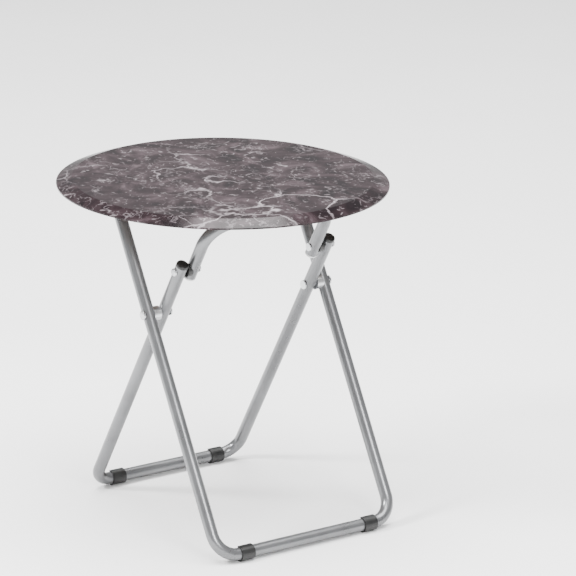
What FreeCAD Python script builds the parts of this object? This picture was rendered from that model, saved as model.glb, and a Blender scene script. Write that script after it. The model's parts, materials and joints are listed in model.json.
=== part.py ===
import FreeCAD, Part
import math
import os

# Folding tray table, open. Millimetres, +Z up, origin on the floor under the disc's centre.
# X is the folding direction (outer frame's foot on the +X side), Y runs along the foot bars.

# Tabletop
top_radius = 254.0
top_height = 524.0
laminate_thickness = 0.8
core_thickness = 9.6
backing_thickness = 0.8
backing_margin = 6.0
rim_bevel_width = 24.0
rim_edge_height = 2.2

# Steel tube
tube_radius = 9.5
tube_wall = 1.2
outer_bend_radius = 36.0
inner_bend_radius = 30.0
arm_bend_radius = 40.0

# Frames: half width to the tube's centre, foot position and lean from vertical
outer_half_width = 161.4
outer_foot_x = 234.3
outer_lean_deg = 30.3
inner_half_width = 134.9
inner_foot_x = -150.9
inner_lean_deg = 30.2
arm_half_width = 112.0

# Pivots
pivot_drop = 20.0
outer_end_overhang = 8.0
inner_end_overhang = 11.0
arm_end_overhang = 14.0
running_clearance = 0.05
body_clearance = 0.3
scissor_rivet_radius = 4.0
knee_rivet_radius = 3.0
knee_head_radius = 6.0
head_thickness = 2.0
scissor_head_radius = 7.0
scissor_spacer_radius = 11.0
knee_spacer_radius = 10.0

# Hinge brackets and saddles under the top
hinge_pin_radius = 3.0
hinge_pin_head_radius = 5.0
hinge_pin_head_thickness = 1.5
sheet_thickness = 2.0
ear_gap = 0.6
ear_radius = 9.0
bracket_half_length = 27.0
bracket_screw_offset = 20.0
saddle_y = 45.0
saddle_width = 18.0
saddle_wall = 2.0
saddle_flange = 15.0

# Wood screws
screw_radius = 1.9
screw_head_radius = 4.0
screw_head_thickness = 2.5
screw_depth = 8.0

# Plastic end fittings and foot clips
cap_length = 5.0
cap_round = 2.5
plug_length = 3.0
insert_length = 6.0
clip_wall = 2.5
clip_length = 23.0
clip_gap_deg = 80.0
clip_gap_direction_deg = 150.0

SIDES = (("near", -1.0), ("far", 1.0))
Y_AXIS = FreeCAD.Vector(0, 1, 0)
Z_AXIS = FreeCAD.Vector(0, 0, 1)

underside = top_height - laminate_thickness - core_thickness - backing_thickness
foot_z = tube_radius + clip_wall
pivot_z = underside - pivot_drop
outer_slope = math.tan(math.radians(outer_lean_deg))
inner_slope = math.tan(math.radians(inner_lean_deg))


def vector(x, y, z):
    return FreeCAD.Vector(x, y, z)


def outer_x(z):
    return outer_foot_x - (z - foot_z) * outer_slope


def inner_x(z):
    return inner_foot_x + (z - foot_z) * inner_slope


# The frames cross at the scissor pivot. Equal links on both sides of the knee let the top fold flat.
scissor_z = foot_z + (outer_foot_x - inner_foot_x) / (outer_slope + inner_slope)
scissor_x = outer_x(scissor_z)
hinge_x = outer_x(pivot_z)
arm_x = inner_x(pivot_z)
scissor_to_hinge = math.hypot(hinge_x - scissor_x, pivot_z - scissor_z)
scissor_to_arm = math.hypot(arm_x - scissor_x, pivot_z - scissor_z)
knee_to_arm = (scissor_to_arm + (arm_x - hinge_x) - scissor_to_hinge) / 2.0
inner_up = vector(math.sin(math.radians(inner_lean_deg)), 0, math.cos(math.radians(inner_lean_deg)))
outer_up = vector(-math.sin(math.radians(outer_lean_deg)), 0, math.cos(math.radians(outer_lean_deg)))
arm_pivot = vector(arm_x, 0, pivot_z)
hinge_pivot = vector(hinge_x, 0, pivot_z)
scissor_pivot = vector(scissor_x, 0, scissor_z)
knee_pivot = arm_pivot - inner_up * knee_to_arm


def at_y(point, y):
    return vector(point.x, y, point.z)


def cylinder(radius, start, direction, length):
    return Part.makeCylinder(radius, length, start, direction)


def cross_cylinder(radius, pivot, low_y, high_y):
    return cylinder(radius, at_y(pivot, low_y), Y_AXIS, high_y - low_y)


def mirrored_span(side, inside, outside):
    if side > 0:
        return inside, outside
    return -outside, -inside


def bent_path(points, radius):
    """Straight runs joined by tangent arcs of one radius."""
    edges = []
    start = points[0]
    for before, corner, after in zip(points, points[1:], points[2:]):
        incoming = (corner - before).normalize()
        outgoing = (after - corner).normalize()
        turn = incoming.getAngle(outgoing)
        setback = radius * math.tan(turn / 2)
        arc_start = corner - incoming * setback
        arc_end = corner + outgoing * setback
        inward = (outgoing - incoming).normalize()
        centre = corner + inward * (radius / math.cos(turn / 2))
        edges.append(Part.LineSegment(start, arc_start).toShape())
        edges.append(Part.Arc(arc_start, centre - inward * radius, arc_end).toShape())
        start = arc_end
    edges.append(Part.LineSegment(start, points[-1]).toShape())
    return Part.Wire(edges)


def swept_rod(path, start, direction, radius):
    profile = Part.Wire(Part.makeCircle(radius, start, direction))
    return path.makePipeShell([profile], True, False)


def bent_tube(points, bend):
    path = bent_path(points, bend)
    direction = points[1] - points[0]
    outside = swept_rod(path, points[0], direction, tube_radius)
    bore = swept_rod(path, points[0], direction, tube_radius - tube_wall)
    return outside.cut(bore)


def u_points(end, corner, half_width):
    return [at_y(end, -half_width), at_y(corner, -half_width),
            at_y(corner, half_width), at_y(end, half_width)]


def through_holes(shape, pivot, half_width, radius):
    reach = tube_radius + tube_wall
    for _, side in SIDES:
        centre = side * half_width
        shape = shape.cut(cross_cylinder(radius, pivot, centre - reach, centre + reach))
    return shape


def screw_places():
    places = []
    for _, side in SIDES:
        for offset in (-bracket_screw_offset, bracket_screw_offset):
            places.append(("bracket", hinge_x + offset, side * outer_half_width))
        for offset in (-1, 1):
            reach = tube_radius + saddle_wall + saddle_flange / 2
            places.append(("saddle", arm_x + offset * reach, side * saddle_y))
    return places


def drill_for_screws(shape):
    for _, x, y in screw_places():
        start = vector(x, y, underside - sheet_thickness)
        shape = shape.cut(cylinder(screw_radius, start, Z_AXIS, sheet_thickness + screw_depth))
    return shape


def bevelled_disc(radius, low_z, thickness, edge_height):
    """Disc whose top falls in a wide, gentle bevel to a thin edge."""
    outline = [vector(0, 0, low_z), vector(radius, 0, low_z), vector(radius, 0, low_z + edge_height),
               vector(radius - rim_bevel_width, 0, low_z + thickness), vector(0, 0, low_z + thickness)]
    section = Part.Face(Part.makePolygon(outline + outline[:1]))
    return section.revolve(vector(0, 0, 0), Z_AXIS, 360)


def tabletop_parts():
    low_z = underside + backing_thickness
    core_radius = top_radius - laminate_thickness
    core = bevelled_disc(core_radius, low_z, core_thickness, rim_edge_height - laminate_thickness)
    shell = bevelled_disc(top_radius, low_z, core_thickness + laminate_thickness, rim_edge_height)
    backing = cylinder(core_radius - backing_margin, vector(0, 0, underside), Z_AXIS, backing_thickness)
    return {
        "board_core": drill_for_screws(core),
        "marble_laminate": shell.cut(core),
        "backing_sheet": drill_for_screws(backing),
    }


def screw_group(kind):
    screws = []
    for place_kind, x, y in screw_places():
        if place_kind != kind:
            continue
        seat_z = underside - sheet_thickness
        shank = cylinder(screw_radius, vector(x, y, seat_z), Z_AXIS, sheet_thickness + screw_depth)
        head_start = vector(x, y, seat_z - screw_head_thickness)
        head = cylinder(screw_head_radius, head_start, Z_AXIS, screw_head_thickness)
        rim = [edge for edge in head.Edges
               if edge.BoundBox.ZLength < 0.01 and edge.CenterOfMass.z < seat_z - screw_head_thickness / 2]
        screws.append(head.makeFillet(screw_head_thickness * 0.6, rim).fuse(shank).removeSplitter())
    return Part.Compound(screws)


def hinge_bracket(side):
    inside = outer_half_width - tube_radius - ear_gap - sheet_thickness
    outside = outer_half_width + tube_radius + ear_gap + sheet_thickness
    low_y, high_y = mirrored_span(side, inside, outside)
    plate_z = underside - sheet_thickness
    bracket = Part.makeBox(2 * bracket_half_length, high_y - low_y, sheet_thickness,
                           vector(hinge_x - bracket_half_length, low_y, plate_z))
    for ear_y in (low_y, high_y - sheet_thickness):
        web = Part.makeBox(2 * ear_radius, sheet_thickness, plate_z - pivot_z,
                           vector(hinge_x - ear_radius, ear_y, pivot_z))
        lobe = cross_cylinder(ear_radius, hinge_pivot, ear_y, ear_y + sheet_thickness)
        bracket = bracket.fuse(web).fuse(lobe)
    bracket = bracket.cut(cross_cylinder(hinge_pin_radius, hinge_pivot, low_y, high_y))
    return drill_for_screws(bracket.removeSplitter())


def hinge_pin(side):
    inside = outer_half_width - tube_radius - ear_gap - sheet_thickness
    outside = outer_half_width + tube_radius + ear_gap + sheet_thickness
    shaft = cross_cylinder(hinge_pin_radius, hinge_pivot, *mirrored_span(side, inside, outside))
    for start in (inside - hinge_pin_head_thickness, outside):
        span = mirrored_span(side, start, start + hinge_pin_head_thickness)
        shaft = shaft.fuse(cross_cylinder(hinge_pin_head_radius, hinge_pivot, *span))
    return shaft.removeSplitter()


def arm_saddle(side):
    low_y = side * saddle_y - saddle_width / 2
    high_y = low_y + saddle_width
    bore = tube_radius + running_clearance
    outside = tube_radius + saddle_wall
    drop = underside - pivot_z
    strap = cross_cylinder(outside, arm_pivot, low_y, high_y)
    strap = strap.fuse(Part.makeBox(2 * outside, saddle_width, drop, vector(arm_x - outside, low_y, pivot_z)))
    strap = strap.fuse(Part.makeBox(2 * (outside + saddle_flange), saddle_width, sheet_thickness,
                                    vector(arm_x - outside - saddle_flange, low_y,
                                           underside - sheet_thickness)))
    strap = strap.cut(cross_cylinder(bore, arm_pivot, low_y, high_y))
    strap = strap.cut(Part.makeBox(2 * bore, saddle_width, drop, vector(arm_x - bore, low_y, pivot_z)))
    return drill_for_screws(strap.removeSplitter())


def outer_tube():
    end = hinge_pivot + outer_up * outer_end_overhang
    tube = bent_tube(u_points(end, vector(outer_foot_x, 0, foot_z), outer_half_width),
                     outer_bend_radius)
    tube = through_holes(tube, hinge_pivot, outer_half_width, hinge_pin_radius + running_clearance)
    return through_holes(tube, scissor_pivot, outer_half_width, scissor_rivet_radius)


def inner_tube():
    end = knee_pivot + inner_up * inner_end_overhang
    tube = bent_tube(u_points(end, vector(inner_foot_x, 0, foot_z), inner_half_width),
                     inner_bend_radius)
    tube = through_holes(tube, knee_pivot, inner_half_width, knee_rivet_radius)
    return through_holes(tube, scissor_pivot, inner_half_width, scissor_rivet_radius + running_clearance)


def arm_tube():
    end = knee_pivot - inner_up * arm_end_overhang
    tube = bent_tube(u_points(end, arm_pivot, arm_half_width), arm_bend_radius)
    return through_holes(tube, knee_pivot, arm_half_width, knee_rivet_radius)


def straight_leg(pivot, direction, y, length):
    return cylinder(tube_radius, at_y(pivot, y) - direction * (length / 2), direction, length)


def scissor_spacer(side):
    """Round spacer that hugs the outer leg and stops just short of the inner leg."""
    inside = inner_half_width + tube_radius + body_clearance
    spacer = cross_cylinder(scissor_spacer_radius, scissor_pivot,
                            *mirrored_span(side, inside, outer_half_width - tube_radius / 2))
    leg = straight_leg(scissor_pivot, outer_up, side * outer_half_width, 6 * scissor_spacer_radius)
    bore = cross_cylinder(scissor_rivet_radius, scissor_pivot, *mirrored_span(side, inside, outer_half_width))
    return spacer.cut(leg).cut(bore)


def scissor_rivet(side):
    inside = inner_half_width - tube_radius - body_clearance
    outside = outer_half_width + tube_radius
    rivet = cross_cylinder(scissor_rivet_radius, scissor_pivot, *mirrored_span(side, inside, outside))
    for start in (inside - head_thickness, outside):
        span = mirrored_span(side, start, start + head_thickness)
        rivet = rivet.fuse(cross_cylinder(scissor_head_radius, scissor_pivot, *span))
    return rivet.removeSplitter()


def knee_spacer(side):
    """Black spacer on the arm; the inner leg turns beside it."""
    outside = inner_half_width - tube_radius - body_clearance
    spacer = cross_cylinder(knee_spacer_radius, knee_pivot,
                            *mirrored_span(side, arm_half_width + tube_radius / 2, outside))
    leg = straight_leg(knee_pivot, inner_up, side * arm_half_width, 6 * knee_spacer_radius)
    bore = cross_cylinder(knee_rivet_radius, knee_pivot, *mirrored_span(side, arm_half_width, outside))
    return spacer.cut(leg).cut(bore)


def knee_arm_rivet(side):
    inside = arm_half_width - tube_radius
    outside = inner_half_width - tube_radius - body_clearance
    shaft = cross_cylinder(knee_rivet_radius, knee_pivot, *mirrored_span(side, inside, outside))
    head = mirrored_span(side, inside - head_thickness, inside)
    return shaft.fuse(cross_cylinder(knee_head_radius, knee_pivot, *head)).removeSplitter()


def knee_leg_rivet(side):
    inside = inner_half_width - tube_radius
    outside = inner_half_width + tube_radius
    shaft = cross_cylinder(knee_rivet_radius, knee_pivot, *mirrored_span(side, inside, outside))
    head = mirrored_span(side, outside, outside + head_thickness)
    return shaft.fuse(cross_cylinder(knee_head_radius, knee_pivot, *head)).removeSplitter()


def end_fitting(end, direction, length, rounding):
    """Plug in a tube's open end with a flange of the tube's own diameter."""
    flange = cylinder(tube_radius, end, direction, length)
    tip = end + direction * length
    rim = [edge for edge in flange.Edges
           if (edge.CenterOfMass - tip).Length < 0.1 and edge.Length > tube_radius * 3]
    flange = flange.makeFillet(rounding, rim)
    insert = cylinder(tube_radius - tube_wall, end - direction * insert_length, direction, insert_length)
    return flange.fuse(insert).removeSplitter()


def inner_leg_cap(side):
    end = at_y(knee_pivot + inner_up * inner_end_overhang, side * inner_half_width)
    return end_fitting(end, inner_up, cap_length, cap_round)


def arm_end_plug(side):
    end = at_y(knee_pivot - inner_up * arm_end_overhang, side * arm_half_width)
    return end_fitting(end, inner_up * -1, plug_length, plug_length / 3)


def foot_clip(foot_x, half_width, bend, side):
    """C-shaped pad snapped round the foot bar; its bottom is the floor contact."""
    middle = half_width - bend - clip_length / 2
    low_y, high_y = mirrored_span(side, middle - clip_length / 2, middle + clip_length / 2)
    bar = vector(foot_x, 0, foot_z)
    outside = tube_radius + clip_wall
    clip = cross_cylinder(outside, bar, low_y, high_y).cut(cross_cylinder(tube_radius, bar, low_y, high_y))
    reach = 2 * outside
    corners = [at_y(bar, low_y)]
    for half in (-0.5, 0.5):
        angle = math.radians(clip_gap_direction_deg + half * clip_gap_deg)
        corners.append(at_y(bar + vector(math.cos(angle), 0, math.sin(angle)) * reach, low_y))
    wedge = Part.Face(Part.makePolygon(corners + corners[:1])).extrude(Y_AXIS * (high_y - low_y))
    return clip.cut(wedge)


def make_nodes():
    nodes = tabletop_parts()
    nodes["bracket_screws"] = screw_group("bracket")
    nodes["saddle_screws"] = screw_group("saddle")
    nodes["outer_tube"] = outer_tube()
    nodes["inner_tube"] = inner_tube()
    nodes["arm_tube"] = arm_tube()
    paired = {
        "hinge_bracket": hinge_bracket,
        "hinge_pin": hinge_pin,
        "arm_saddle": arm_saddle,
        "scissor_spacer": scissor_spacer,
        "scissor_rivet": scissor_rivet,
        "knee_spacer": knee_spacer,
        "knee_arm_rivet": knee_arm_rivet,
        "knee_leg_rivet": knee_leg_rivet,
        "inner_leg_cap": inner_leg_cap,
        "arm_end_plug": arm_end_plug,
    }
    for side_name, side in SIDES:
        for name, make in paired.items():
            nodes[f"{name}_{side_name}"] = make(side)
        nodes[f"outer_foot_clip_{side_name}"] = foot_clip(outer_foot_x, outer_half_width,
                                                             outer_bend_radius, side)
        nodes[f"inner_foot_clip_{side_name}"] = foot_clip(inner_foot_x, inner_half_width,
                                                             inner_bend_radius, side)
    return nodes


os.makedirs("parts", exist_ok=True)
for node_name, shape in make_nodes().items():
    shape.exportStep(f"parts/{node_name}.step")
    print(node_name, len(shape.Solids), shape.isValid(), round(shape.Volume, 1))
for pivot_name, pivot in (("hinge", hinge_pivot), ("scissor", scissor_pivot),
                          ("knee", knee_pivot), ("arm", arm_pivot)):
    print(pivot_name, round(pivot.x, 3), round(pivot.z, 3))
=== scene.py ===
import json
import math

import bmesh
import bpy
from mathutils import Matrix, Vector


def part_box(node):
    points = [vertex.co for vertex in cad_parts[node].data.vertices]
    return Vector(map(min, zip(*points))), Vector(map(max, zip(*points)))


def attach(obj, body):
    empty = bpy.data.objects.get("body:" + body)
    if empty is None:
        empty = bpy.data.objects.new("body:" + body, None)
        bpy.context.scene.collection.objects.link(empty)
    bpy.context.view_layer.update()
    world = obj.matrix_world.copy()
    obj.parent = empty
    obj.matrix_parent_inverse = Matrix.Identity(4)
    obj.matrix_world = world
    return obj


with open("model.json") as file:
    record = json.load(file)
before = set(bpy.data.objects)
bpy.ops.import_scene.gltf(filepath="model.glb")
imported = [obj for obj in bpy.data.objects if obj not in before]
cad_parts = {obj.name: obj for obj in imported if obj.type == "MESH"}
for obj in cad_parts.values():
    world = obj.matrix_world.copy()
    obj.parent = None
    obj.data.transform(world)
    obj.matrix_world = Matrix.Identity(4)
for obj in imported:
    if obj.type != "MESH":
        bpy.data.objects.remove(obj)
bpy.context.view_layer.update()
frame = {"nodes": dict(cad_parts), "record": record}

# Camera, in metres and degrees
CAMERA_TARGET = Vector((-0.5799, 0.5395, 0.1061))
CAMERA_DISTANCE = 6.8992
CAMERA_AZIMUTH = 54.43
CAMERA_ELEVATION = 17.13
CAMERA_ROLL = 0.93
CAMERA_LENS = 247.5

# Studio: strength of the white surroundings, half the floor's side, and each light's name, place, the point
# it faces, size and power
WORLD_STRENGTH = 0.55
FLOOR_REACH = 30.0
LIGHTS = (
    ("overhead", (0, 0, 4.5), (0, 0, 0), 5.0, 900.0),
    ("key", (-0.6, -2.6, 2.6), (0, 0, 0.3), 0.7, 190.0),
    ("fill", (2.8, -0.4, 1.6), (0, 0, 0.3), 1.0, 80.0),
)

# Dome added on each rivet head: how far it stands proud and how many rings it has
DOME_RISE = 0.0012
DOME_RINGS = 8
DOME_SEGMENTS = 40


class Shader:
    """A node material with one Principled shader and short helpers."""

    def __init__(self, name):
        self.material = bpy.data.materials.new(name)
        self.material.use_nodes = True
        self.nodes = self.material.node_tree.nodes
        self.links = self.material.node_tree.links
        self.surface = self.nodes["Principled BSDF"]
        self.place = self.nodes.new("ShaderNodeTexCoord").outputs["Object"]

    def set(self, **values):
        for name, value in values.items():
            self.surface.inputs[name.replace("_", " ")].default_value = value

    def stretched(self, scale):
        mapping = self.nodes.new("ShaderNodeMapping")
        mapping.inputs["Scale"].default_value = scale
        self.links.new(self.place, mapping.inputs["Vector"])
        return mapping.outputs["Vector"]

    def noise(self, scale, detail=4.0, distortion=0.0, place=None):
        node = self.nodes.new("ShaderNodeTexNoise")
        node.inputs["Scale"].default_value = scale
        node.inputs["Detail"].default_value = detail
        node.inputs["Distortion"].default_value = distortion
        self.links.new(place or self.place, node.inputs["Vector"])
        return node

    def ramp(self, source, stops):
        node = self.nodes.new("ShaderNodeValToRGB")
        ramp = node.color_ramp
        while len(ramp.elements) < len(stops):
            ramp.elements.new(0.5)
        for element, (position, colour) in zip(ramp.elements, stops):
            element.position = position
            element.color = (*colour, 1.0)
        self.links.new(source, node.inputs["Fac"])
        return node.outputs["Color"]

    def mix(self, factor, first, second):
        node = self.nodes.new("ShaderNodeMix")
        node.data_type = "RGBA"
        self.links.new(factor, node.inputs[0])
        self.links.new(first, node.inputs[6])
        self.links.new(second, node.inputs[7])
        return node.outputs[2]

    def math(self, operation, first, second):
        node = self.nodes.new("ShaderNodeMath")
        node.operation = operation
        self.links.new(first, node.inputs[0])
        self.links.new(second, node.inputs[1])
        return node.outputs[0]

    def colour(self, source):
        self.links.new(source, self.surface.inputs["Base Color"])

    def roughness(self, source, low, high):
        node = self.nodes.new("ShaderNodeMapRange")
        node.inputs["To Min"].default_value = low
        node.inputs["To Max"].default_value = high
        self.links.new(source, node.inputs["Value"])
        self.links.new(node.outputs["Result"], self.surface.inputs["Roughness"])

    def bump(self, source, distance, strength=0.5):
        node = self.nodes.new("ShaderNodeBump")
        node.inputs["Strength"].default_value = strength
        node.inputs["Distance"].default_value = distance
        self.links.new(source, node.inputs["Height"])
        self.links.new(node.outputs["Normal"], self.surface.inputs["Normal"])


def grey(value):
    return (value, value, value)


def crack_veins(shader, scale, width, wander):
    """Thin wandering lines: the borders of cells whose coordinates a noise has pushed about."""
    warp = shader.noise(scale * 0.9, 6.0)
    push = shader.nodes.new("ShaderNodeVectorMath")
    push.operation = "MULTIPLY_ADD"
    push.inputs[1].default_value = (wander, wander, wander)
    shader.links.new(warp.outputs["Color"], push.inputs[0])
    shader.links.new(shader.place, push.inputs[2])
    cells = shader.nodes.new("ShaderNodeTexVoronoi")
    cells.feature = "DISTANCE_TO_EDGE"
    cells.inputs["Scale"].default_value = scale
    shader.links.new(push.outputs[0], cells.inputs["Vector"])
    return shader.ramp(cells.outputs["Distance"], [(0.0, grey(1.0)), (width, grey(0.0))])


def marble_laminate():
    """Dark plum-brown marble print: feathery mottling, a few wandering white veins and flecks, gloss coat."""
    shader = Shader("marble_laminate_look")
    shader.set(IOR=1.45, Specular_IOR_Level=0.2)
    cloud = shader.noise(11.0, 12.0, 2.2).outputs["Fac"]
    ground = shader.ramp(cloud, [(0.34, (0.004, 0.002, 0.003)), (0.47, (0.011, 0.006, 0.0075)),
                                 (0.57, (0.022, 0.014, 0.0165)), (0.70, (0.050, 0.035, 0.040))])
    patches = shader.ramp(shader.noise(4.5, 5.0).outputs["Fac"], [(0.49, grey(0.0)), (0.62, grey(0.6))])
    main = shader.math("MULTIPLY", crack_veins(shader, 4.6, 0.012, 0.34), patches)
    fine = crack_veins(shader, 19.0, 0.030, 0.16)
    broken = shader.ramp(shader.noise(15.0, 6.0).outputs["Fac"], [(0.50, grey(0.0)), (0.66, grey(0.30))])
    flecks = shader.ramp(shader.noise(75.0, 6.0, 1.5).outputs["Fac"],
                         [(0.58, grey(0.0)), (0.78, grey(0.40))])
    lines = shader.math("MAXIMUM", main, shader.math("MULTIPLY", fine, broken))
    veins = shader.math("MAXIMUM", lines, flecks)
    pale = shader.ramp(cloud, [(0.3, (0.30, 0.25, 0.27)), (0.7, (0.52, 0.48, 0.50))])
    shader.colour(shader.mix(veins, ground, pale))
    shader.roughness(shader.noise(60.0, 3.0).outputs["Fac"], 0.08, 0.18)
    shader.bump(shader.noise(240.0, 2.0).outputs["Fac"], 0.00003, 0.25)
    return shader.material


def silver_tube():
    """Silver-painted steel tube: satin, with the faint mottling of sprayed paint."""
    shader = Shader("silver_tube_look")
    shader.set(Metallic=0.7, Coat_Weight=0.15, Coat_Roughness=0.12)
    mottle = shader.noise(900.0, 3.0).outputs["Fac"]
    broad = shader.noise(18.0, 4.0).outputs["Fac"]
    shader.colour(shader.ramp(broad, [(0.35, (0.150, 0.152, 0.157)), (0.65, (0.185, 0.188, 0.194))]))
    shader.roughness(broad, 0.24, 0.34)
    shader.bump(mottle, 0.00003, 0.3)
    return shader.material


def zinc_steel():
    """Bright zinc plate on small stampings, with fine brush lines and cloudy passivation."""
    shader = Shader("zinc_steel_look")
    shader.set(Metallic=1.0)
    lines = shader.noise(120.0, 3.0, place=shader.stretched((1.0, 14.0, 14.0))).outputs["Fac"]
    cloud = shader.noise(70.0, 5.0).outputs["Fac"]
    shader.colour(shader.ramp(cloud, [(0.3, (0.46, 0.47, 0.49)), (0.7, (0.66, 0.665, 0.67))]))
    shader.roughness(cloud, 0.24, 0.42)
    shader.bump(lines, 0.00004, 0.35)
    return shader.material


def moulded_plastic(name, dark, light, low, high):
    """Moulded plastic with a fine spark-eroded grain."""
    shader = Shader(name)
    shader.set(IOR=1.47)
    broad = shader.noise(90.0, 4.0).outputs["Fac"]
    shader.colour(shader.ramp(broad, [(0.3, dark), (0.7, light)]))
    shader.roughness(broad, low, high)
    shader.bump(shader.noise(2200.0, 2.0).outputs["Fac"], 0.00005, 0.4)
    return shader.material


def particle_board():
    """Pressed chips seen only where the board's lower edge is left bare."""
    shader = Shader("particle_board_look")
    chips = shader.nodes.new("ShaderNodeTexVoronoi")
    chips.inputs["Scale"].default_value = 260.0
    shader.links.new(shader.stretched((1.0, 1.0, 2.4)), chips.inputs["Vector"])
    shader.colour(shader.ramp(chips.outputs["Distance"], [(0.1, (0.36, 0.24, 0.13)),
                                                          (0.7, (0.62, 0.47, 0.30))]))
    shader.roughness(chips.outputs["Distance"], 0.75, 0.95)
    shader.bump(chips.outputs["Distance"], 0.0002, 0.5)
    return shader.material


def backing_paper():
    """Brown phenolic backing sheet under the board."""
    shader = Shader("backing_paper_look")
    fibres = shader.noise(420.0, 5.0, 0.4).outputs["Fac"]
    shader.colour(shader.ramp(fibres, [(0.3, (0.050, 0.033, 0.026)), (0.7, (0.098, 0.068, 0.052))]))
    shader.roughness(fibres, 0.5, 0.72)
    shader.bump(fibres, 0.00008, 0.4)
    return shader.material


def assign_materials():
    looks = {
        "marble_laminate": marble_laminate(),
        "silver_tube": silver_tube(),
        "zinc_steel": zinc_steel(),
        "black_plastic": moulded_plastic("black_plastic_look", grey(0.004), grey(0.009), 0.34, 0.48),
        "pale_plastic": moulded_plastic("pale_plastic_look", grey(0.48), grey(0.60), 0.38, 0.55),
        "particle_board": particle_board(),
        "backing_paper": backing_paper(),
    }
    for entry in frame["record"]["subparts"]:
        piece = frame["nodes"][entry["node"]]
        look = looks[entry["material_slot"]]
        if not piece.material_slots:
            piece.data.materials.append(look)
        for material_slot in piece.material_slots:
            material_slot.material = look
    return looks


def rivet_dome(name, centre, side, radius, body, look):
    """Shallow domed face on a rivet head, turned about the rivet's Y axis."""
    mesh = bpy.data.meshes.new(name)
    work = bmesh.new()
    rings = []
    for ring in range(DOME_RINGS):
        turn = (math.pi / 2) * ring / DOME_RINGS
        ring_radius = radius * math.cos(turn)
        out = centre.y + side * DOME_RISE * math.sin(turn)
        rings.append([work.verts.new((centre.x + ring_radius * math.cos(angle), out,
                                      centre.z + ring_radius * math.sin(angle)))
                      for angle in (2 * math.pi * step / DOME_SEGMENTS for step in range(DOME_SEGMENTS))])
    tip = work.verts.new((centre.x, centre.y + side * DOME_RISE, centre.z))
    for low, high in zip(rings, rings[1:]):
        for step in range(DOME_SEGMENTS):
            after = (step + 1) % DOME_SEGMENTS
            work.faces.new((low[step], low[after], high[after], high[step]))
    for step in range(DOME_SEGMENTS):
        work.faces.new((rings[-1][step], rings[-1][(step + 1) % DOME_SEGMENTS], tip))
    work.faces.new(rings[0])
    bmesh.ops.recalc_face_normals(work, faces=work.faces)
    for face in work.faces:
        face.smooth = len(face.verts) < 5
    work.to_mesh(mesh)
    work.free()
    dome = bpy.data.objects.new(name, mesh)
    bpy.context.scene.collection.objects.link(dome)
    mesh.materials.append(look)
    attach(dome, body)


def add_rivet_domes(look):
    for rivet, body in (("scissor_rivet", "outer_frame"), ("knee_leg_rivet", "inner_frame"),
                        ("hinge_pin", "tabletop")):
        for side_name, side in (("near", -1.0), ("far", 1.0)):
            low, high = (Vector(corner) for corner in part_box(f"{rivet}_{side_name}"))
            middle = (low + high) / 2
            middle.y = high.y if side > 0 else low.y
            rivet_dome(f"{rivet}_dome_{side_name}", middle, side, (high.x - low.x) / 2, body, look)


def add_floor():
    shader = Shader("floor_look")
    shader.colour(shader.ramp(shader.noise(3.0, 2.0).outputs["Fac"], [(0.3, grey(0.86)), (0.7, grey(0.88))]))
    shader.set(Roughness=0.9)
    mesh = bpy.data.meshes.new("floor")
    corners = [(x * FLOOR_REACH, y * FLOOR_REACH, 0) for x, y in ((-1, -1), (1, -1), (1, 1), (-1, 1))]
    mesh.from_pydata(corners, [], [(0, 1, 2, 3)])
    mesh.materials.append(shader.material)
    floor = bpy.data.objects.new("floor", mesh)
    bpy.context.scene.collection.objects.link(floor)


def area_light(name, place, aim, size, power):
    light = bpy.data.lights.new(name, "AREA")
    light.size = size
    light.energy = power
    lamp = bpy.data.objects.new(name, light)
    lamp.location = place
    lamp.rotation_euler = (Vector(aim) - Vector(place)).to_track_quat("-Z", "Y").to_euler()
    bpy.context.scene.collection.objects.link(lamp)


def add_light():
    world = bpy.data.worlds.new("studio")
    bpy.context.scene.world = world
    world.use_nodes = True
    world.node_tree.nodes["Background"].inputs["Color"].default_value = (1.0, 1.0, 1.0, 1.0)
    world.node_tree.nodes["Background"].inputs["Strength"].default_value = WORLD_STRENGTH
    for light in LIGHTS:
        area_light(*light)


def add_camera():
    azimuth = math.radians(CAMERA_AZIMUTH)
    elevation = math.radians(CAMERA_ELEVATION)
    roll = math.radians(CAMERA_ROLL)
    toward = Vector((math.sin(azimuth) * math.cos(elevation), -math.cos(azimuth) * math.cos(elevation),
                     math.sin(elevation)))
    level_right = Vector((math.cos(azimuth), math.sin(azimuth), 0))
    level_up = toward.cross(level_right)
    right = level_right * math.cos(roll) + level_up * math.sin(roll)
    up = level_up * math.cos(roll) - level_right * math.sin(roll)
    data = bpy.data.cameras.new("camera")
    data.lens = CAMERA_LENS
    data.clip_end = 100.0
    camera = bpy.data.objects.new("camera", data)
    turn = Matrix((right, up, toward)).transposed().to_4x4()
    camera.matrix_world = Matrix.Translation(CAMERA_TARGET + toward * CAMERA_DISTANCE) @ turn
    bpy.context.scene.collection.objects.link(camera)
    bpy.context.scene.camera = camera


add_camera()
add_light()
add_floor()
looks_by_slot = assign_materials()
add_rivet_domes(looks_by_slot["zinc_steel"])
